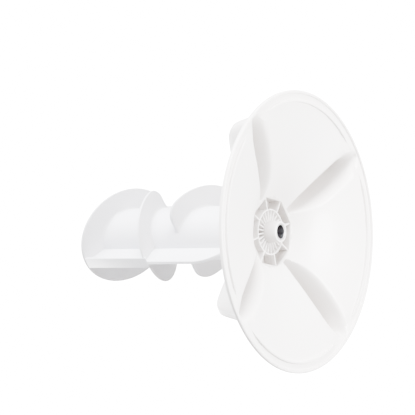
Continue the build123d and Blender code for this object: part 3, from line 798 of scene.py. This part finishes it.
flare = [(FLIGHT_ROOT, 2.6), (34.0, 2.2), (34.5, 1.2), (35.3, 0.5), (36.6, 0.12), (38.5, 0.0)]
reaches = [round(float(cut_edge(radians(a))), 1) for a in (0, 40, 60, 90)]
print("a cut flight reaches", reaches, "mm")


# %% Flights
def flight(name, height, rise, start, end, edge=round_edge, flip=1):
    """One flat tilted flight between two angles."""
    half = FLIGHT_THICK / 2
    slope = np.sqrt(1 + rise ** 2)
    whole = end - start >= 360
    stations = []
    for phi in np.radians(np.linspace(start, end, int((end - start) / FLIGHT_STEP) + 1)):
        reach = edge(phi if flip > 0 else pi - phi)
        side = [(min(r, reach), half + more) for r, more in flare]
        side += [(max(reach - 1.3, FLIGHT_ROOT), half), (reach - 0.55, 0.82 * half),
                 (reach - 0.14, 0.45 * half)]
        loop = side + [(reach, 0)] + [(r, -z) for r, z in reversed(side)]
        lifts = [height + rise * r * cos(phi) + z * slope for r, z in loop]
        stations.append(np.array([(r * cos(phi), r * sin(phi), lift)
                                  for (r, z), lift in zip(loop, lifts)]) * MM)
    if whole:
        stations.pop()
    verts, faces = skin(stations, closed_loop=whole)
    if not whole:
        count = len(stations[0])
        faces += [tuple(range(count)), tuple(range(len(verts) - count, len(verts)))]
    made = finish_mesh(name, verts, faces, auger_white)
    # Painted shade: faces that look down are greyer, the more so the more steeply they face down
    add_film(made, lambda vertex: FLIGHT_UNDERSIDE_SHADE * min(max(-vertex.normal.z, 0), 1))
    put_on(made, "auger", "white_plastic_auger")


TOP_HEIGHT, TOP_RISE = 275.4, 0.4875
cut_angle = degrees(np.arccos(FLIGHT_END / 33.6))       # where the cut passes into the core
flight("top_flight", TOP_HEIGHT, TOP_RISE, 0, 360)
flight("middle_flight", 223.9, -0.3525, 180, 360)
flight("run_out_flight", 212.0, -0.10, 0, 180 - cut_angle, cut_edge, flip=-1)
flight("lower_flight", 153.0, 0.48, cut_angle, 360 - cut_angle, cut_edge)

# %% [markdown]
# ## Fins
# Each fin is a flat plate with a rounded foot. It is drawn as an outline, given its thickness,
# and its edges are rounded by a bevel on every edge that is sharper than 30 degrees.

# %% Outlines and how they are given thickness
def arc_through(first, middle, last, steps=10):
    """Points of the circle through three points, from the first to the last."""
    a, b, c = (complex(*p) for p in (first, middle, last))
    w = (c - a) / (b - a)
    centre = (b - a) * (w - abs(w) ** 2) / (2j * w.imag) + a
    start, stop = np.angle(a - centre), np.angle(c - centre)
    stop += 2 * pi * round((start - stop) / (2 * pi))
    return [(abs(a - centre) * cos(t) + centre.real, abs(a - centre) * sin(t) + centre.imag)
            for t in np.linspace(start, stop, steps)]


FIN_THICK, FIN_ROOT, FIN_EDGE = 4.6, 32.5, 0.7
FRONT_FOOT, BACK_FOOT = 92.0, 88.0
BAND_INNER, BAND_BOTTOM, BAND_TOP, BAND_WIDE, BEHIND_BAND = 58.6, 202.3, 302.6, 15.5, 60.0


def slab(name, outline, thick):
    """A plate centred on the XZ plane, with rounded edges."""
    count = len(outline)
    verts = [(x * MM, y * MM, z * MM) for y in (-thick / 2, thick / 2) for x, z in outline]
    faces = [tuple(range(count)), tuple(range(2 * count - 1, count - 1, -1))]
    faces += [(i, (i + 1) % count, count + (i + 1) % count, count + i) for i in range(count)]
    return finish_mesh(name, verts, faces, auger_white, edge=FIN_EDGE)

# %% Fins and band
def top_flight_height(x):
    return TOP_HEIGHT + TOP_RISE * x


front = [(FIN_ROOT, FRONT_FOOT)]
front += arc_through((CORE, FRONT_FOOT), (54.0, 109.0), (FLIGHT_RADIUS, 131.0))
front += [(FLIGHT_RADIUS, 203.0), (BEHIND_BAND, 204.0),
          (BEHIND_BAND, top_flight_height(BEHIND_BAND)), (FIN_ROOT, top_flight_height(FIN_ROOT))]
back = [(-FIN_ROOT, BACK_FOOT)]
back += arc_through((-CORE, BACK_FOOT), (-54.0, 103.0), (-FLIGHT_RADIUS, 123.0))
back += [(-FLIGHT_RADIUS, top_flight_height(-FLIGHT_RADIUS)),
         (-FIN_ROOT, top_flight_height(-FIN_ROOT))]
band = [(BAND_INNER, BAND_BOTTOM), (FLIGHT_RADIUS, BAND_BOTTOM),
        (FLIGHT_RADIUS, BAND_TOP), (BAND_INNER, BAND_TOP)]
fins = [slab("front_fin", front, FIN_THICK), slab("back_fin", back, FIN_THICK),
        slab("fin_band", band, BAND_WIDE)]
for piece in fins:
    put_on(piece, "auger", "white_plastic_auger")

# %% [markdown]
# ## Steel drive insert
# The washing machine's shaft drives the plate through a steel insert in the boss. It is turned
# from bar, so it shows fine rings round its axis, and its inner part has twelve splines. The
# splines are made by giving the turned profile a radius that changes with the angle.

# %% Makers of metal and plastic finishes
FACED = (0.72, 0.72, 0.72, 1)


def metal(name, dark, bright, roughness, lines, faced_to=None):
    """Turned metal; a piece with a freshly faced end is bright up to that height."""
    made = Finish(name)
    turned_marks = made.noise(lines, 3.0, stretch=(0.02, 0.02, 1.0))
    patches = made.noise(160.0, 3.0)
    colour = made.mix(made.ramp(patches, 0.35, 0.65), dark, bright)
    if faced_to:
        height = made.node("ShaderNodeSeparateXYZ", {}, {0: made.place}, out=2)
        colour = made.mix(made.ramp(height, faced_to, faced_to + 0.001), FACED, colour)
    made.surface(Base_Color=colour, Roughness=roughness + 0.18 * patches, Metallic=1.0,
                 Normal=made.bump(turned_marks, 0.00004, 0.6))
    return made.material


def plain_plastic(name, first, second, roughness):
    made = Finish(name)
    cloud = made.noise(45.0, 3.0)
    made.surface(Base_Color=made.mix(made.ramp(cloud, 0.3, 0.7), first, second),
                 Roughness=roughness + 0.12 * cloud,
                 Normal=made.bump(made.noise(1400.0, 2.0), 0.00005, 0.5))
    return made.material

# %% Finishes of the small pieces
drive_steel = metal("machined_steel", (0.22, 0.22, 0.23, 1), (0.34, 0.34, 0.35, 1), 0.28, 2500.0,
                    faced_to=0.0334)
bolt_steel = metal("zinc_plated_steel", (0.50, 0.52, 0.55, 1), (0.66, 0.67, 0.69, 1), 0.26, 1500.0)
bearing_plastic = plain_plastic("natural_acetal", (0.80, 0.79, 0.74, 1), (0.75, 0.74, 0.69, 1),
                                0.36)
clutch_plastic = plain_plastic("grey_nylon", (0.50, 0.51, 0.51, 1), (0.44, 0.45, 0.46, 1), 0.42)
dog_plastic = plain_plastic("dark_nylon", (0.055, 0.057, 0.06, 1), (0.08, 0.08, 0.085, 1), 0.40)
seal_rubber = plain_plastic("black_rubber", (0.018, 0.018, 0.019, 1), (0.03, 0.03, 0.031, 1), 0.62)
print("finishes:", [material.name for material in (drive_steel, bolt_steel, bearing_plastic,
                                                   clutch_plastic, dog_plastic, seal_rubber)])

# %% Insert with its splines
SPLINES, SPLINE_ROOT, SPLINE_TIP, SPLINE_START, SPLINE_STOP = 12, 8.8, 7.6, 46.4, 59.9
SHAFT_BORE, SHAFT_BORE_END, BOLT_HOLE, WEB = 8.5, 46.0, 4.5, 60.0
spline_steps = np.array([-8.5, -6.8, -6.2, -5.4, 0, 5.4, 6.2, 6.8, 8.5, 15])
spline_rise = np.array([0, 0, 0.85, 1, 1, 1, 0.85, 0, 0, 0])
spline_pitch = 360 / SPLINES
insert_angles = np.radians(np.concatenate([spline_pitch * i + spline_steps
                                           for i in range(SPLINES)]))
spline_reach = SPLINE_ROOT - (SPLINE_ROOT - SPLINE_TIP) * np.tile(spline_rise, SPLINES)
insert_profile = soften([(HUB_BORE, BOSS_END, 0.3), (HUB_BORE, HUB_TOP, 0.3), (BOLT_HOLE, HUB_TOP),
                         (BOLT_HOLE, WEB), (SPLINE_TIP, SPLINE_STOP, 0),
                         (SPLINE_TIP, SPLINE_START, 0), (SHAFT_BORE, SHAFT_BORE_END, 0),
                         (SHAFT_BORE, BOSS_END, 0.7)], 0.4)
insert_profile = [(spline_reach if r == SPLINE_TIP else r, z) for r, z in insert_profile]
insert = finish_mesh("splined_insert", *skin(turned(insert_profile, insert_angles)), drive_steel)
put_on(insert, "plate", "drive_steel", "drive_insert")

# %% [markdown]
# ## Top cap
# A domed cap closes the auger. Its skirt holds a rubber ring in a groove, and it is pulled
# straight up to reach the bolt. The dome is a smooth curve, level in the middle and upright at
# its edge.

# %% Cap with its groove
CAP_TOP, SKIRT, SKIRT_BORE, SKIRT_BOTTOM = 312.0, 30.95, 26.75, 291.0
GROOVE, GROOVE_BOTTOM, GROOVE_TOP = 28.55, 294.6, 297.4
dome = smooth_line([(CORE, 306.5), (29.0, 309.8), (0.0, CAP_TOP)], start=(0, 1), end=(-1, 0),
                   steps=18)
dome[:, 1] = np.minimum(dome[:, 1], CAP_TOP)
cap_profile = soften([(0, 309.6, 0), (22, 308.6, 2), (SKIRT_BORE, CORE_TOP, 1.5),
                      (SKIRT_BORE, SKIRT_BOTTOM), (SKIRT, SKIRT_BOTTOM),
                      (SKIRT, GROOVE_BOTTOM, 0.2), (GROOVE, GROOVE_BOTTOM, 0.2),
                      (GROOVE, GROOVE_TOP, 0.2), (SKIRT, GROOVE_TOP, 0.2),
                      (SKIRT, CORE_TOP, 0.2), (CORE, CORE_TOP)]
                     + [(r, z, 0) for r, z in dome], 0.5)
cap = finish_mesh("domed_cap", *skin(turned(cap_profile), closed_loop=False), auger_white)
put_on(cap, "top_cap", "white_plastic_auger", "top_cap")

# %% [markdown]
# ## Bolt
# One bolt holds the agitator to the shaft. Its thread is a ridge that climbs as it goes round,
# so each ring of the shank has a radius that depends on both its height and the angle.

# %% Bolt with a rolled thread
THREAD_PITCH, THREAD_DEPTH, THREAD_START, THREAD_STOP = 1.25, 0.6, 62.5, 86.0
SHANK, HEAD, HEAD_BOTTOM, HEAD_TOP = 4.0, 7.5, 93.6, 100.0
bolt_angles = np.linspace(0, 2 * pi, 72, endpoint=False)
flat_reach = HEAD * cos(pi / 6) / np.cos((bolt_angles % (pi / 3)) - pi / 6)
shank = [(0.0, 62.0), (3.0, 62.0)]
for z in np.arange(THREAD_START, THREAD_STOP, THREAD_PITCH / 6):
    turn_share = (z / THREAD_PITCH - bolt_angles / (2 * pi)) % 1.0
    shank.append((SHANK - THREAD_DEPTH * np.abs(2 * turn_share - 1), z))
shank += [(SHANK, 86.6), (SHANK, HEAD_BOTTOM), (np.minimum(flat_reach, 6.9), HEAD_BOTTOM),
          (flat_reach, 94.2), (flat_reach, 99.3), (np.minimum(flat_reach, 6.8), HEAD_TOP),
          (0.0, HEAD_TOP)]
bolt = finish_mesh("threaded_bolt", *skin(turned(shank, bolt_angles), closed_loop=False),
                   bolt_steel)
put_on(bolt, "bolt", "bolt_steel", "agitator_bolt")

# %% [markdown]
# ## Finishes for the pieces that keep their CAD shape
# The clutch, bearings, seals and plug keep their CAD meshes. Assigning to an object's material
# slots changes its looks and leaves its shape alone.

# %% Assign finishes
finishes = {
    auger_white: ["inner_cap", "centre_post"],
    bearing_plastic: ["lower_bearing", "upper_bearing", "thrust_spacer"],
    clutch_plastic: ["clutch_cam", "dog_retainer"],
    dog_plastic: ["clutch_dog_1", "clutch_dog_2", "clutch_dog_3", "clutch_dog_4"],
    bolt_steel: ["bolt_washer"],
    seal_rubber: ["bolt_seal", "inner_cap_ring", "top_cap_ring"],
}
for finish, names in finishes.items():
    for name in names:
        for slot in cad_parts[name].material_slots:
            slot.material = finish
print("finished", sum(len(names) for names in finishes.values()), "CAD pieces")
